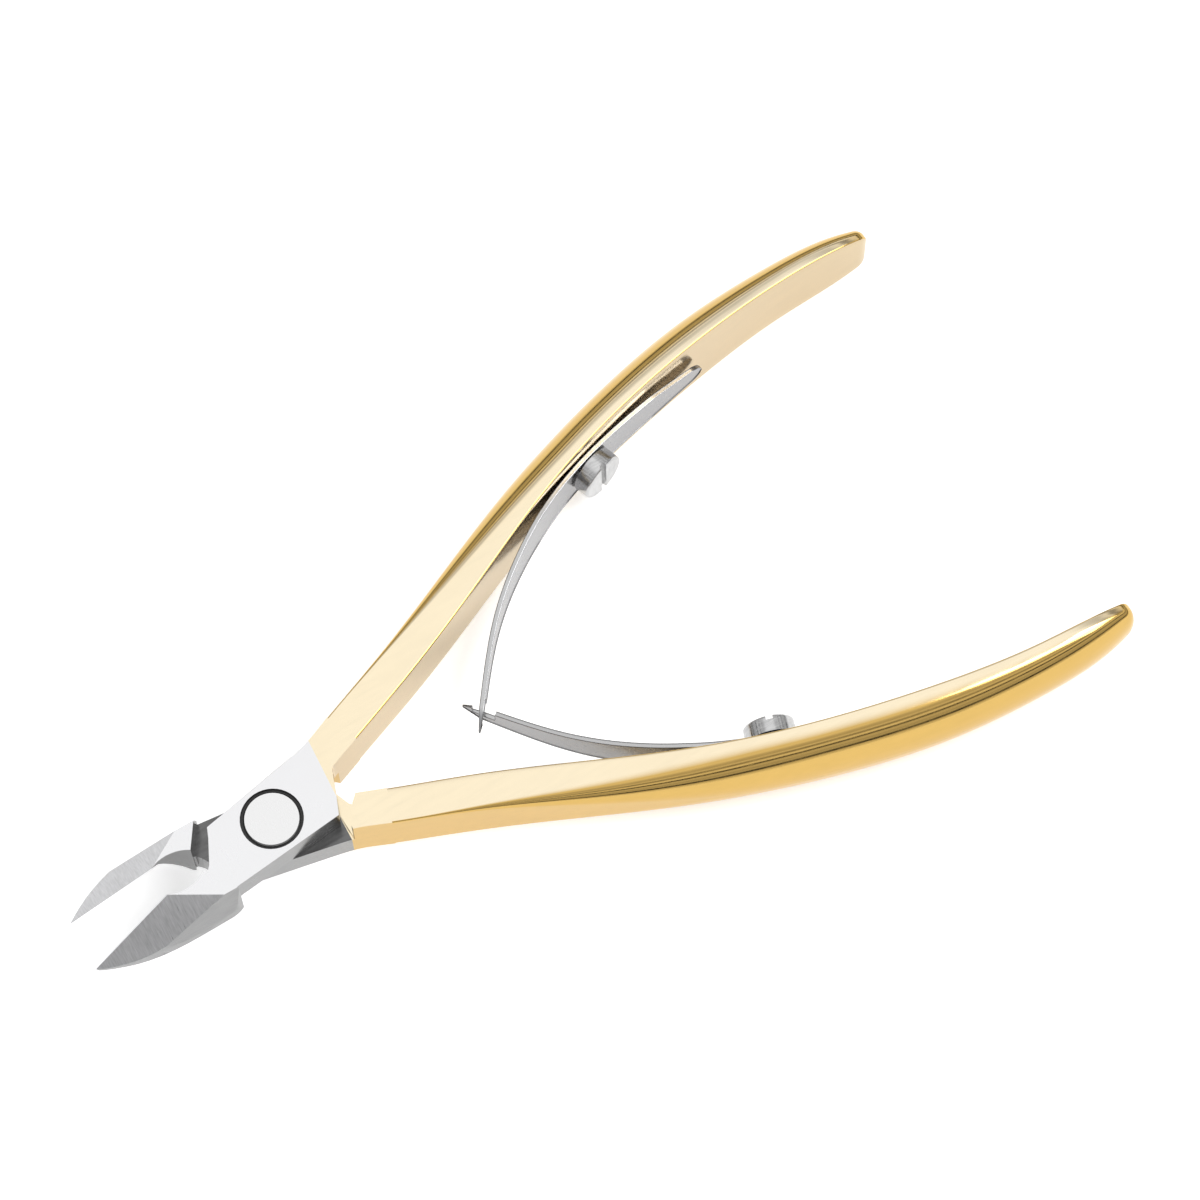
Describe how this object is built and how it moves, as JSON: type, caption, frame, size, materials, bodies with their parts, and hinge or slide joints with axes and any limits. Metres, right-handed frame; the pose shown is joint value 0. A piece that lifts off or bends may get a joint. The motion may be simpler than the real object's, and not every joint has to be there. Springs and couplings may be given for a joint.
{
  "type": "cuticle nipper",
  "caption": "Hand nipper with a lap joint, bevelled half jaws, long curved handles and crossed leaf springs that hold it open.",
  "frame": {"origin": "pivot axis at the back face of the joint", "axes": "+Z along the pivot axis out of the front face, +X along the symmetry axis to the handle ends, +Y to the handle of the front lever"},
  "size_m": [0.1182, 0.0606, 0.0106],
  "materials": {
    "gold_a": "polished gold plating",
    "gold_b": "polished gold plating",
    "rivet": "flush ground",
    "spring": "satin spring steel",
    "screw": "turned"
  },
  "bodies": {
    "lever_a": {"lever_a": "gold_a", "pivot_rivet": "rivet", "screw_a": "screw"},
    "lever_b": {"lever_b": "gold_b", "screw_b": "screw"},
    "spring_a": {"spring_a": "spring"},
    "spring_b": {"spring_b": "spring"}
  },
  "joints": [
    {"name": "lever_pivot", "type": "hinge", "parent": "lever_a", "child": "lever_b", "pos_m": [0, 0, 0.0033], "axis": [0, 0, 1], "range_deg": [0, 13.9], "stiffness_Nm_per_rad": 1.5, "deforming": ["spring_a", "spring_b"]},
    {"name": "spring_a_flex", "type": "hinge", "parent": "lever_a", "child": "spring_a", "pos_m": [0.048, 0.0185, 0.0033], "axis": [0, 0, 1], "range_deg": [-7.7, 0]},
    {"name": "spring_b_flex", "type": "hinge", "parent": "lever_b", "child": "spring_b", "pos_m": [0.048, -0.0185, 0.0033], "axis": [0, 0, 1], "range_deg": [0, 7.7]}
  ],
  "couplings": [
    {"joint": "spring_a_flex", "follows": "lever_pivot", "ratio": -0.55},
    {"joint": "spring_b_flex", "follows": "lever_pivot", "ratio": 0.55}
  ]
}
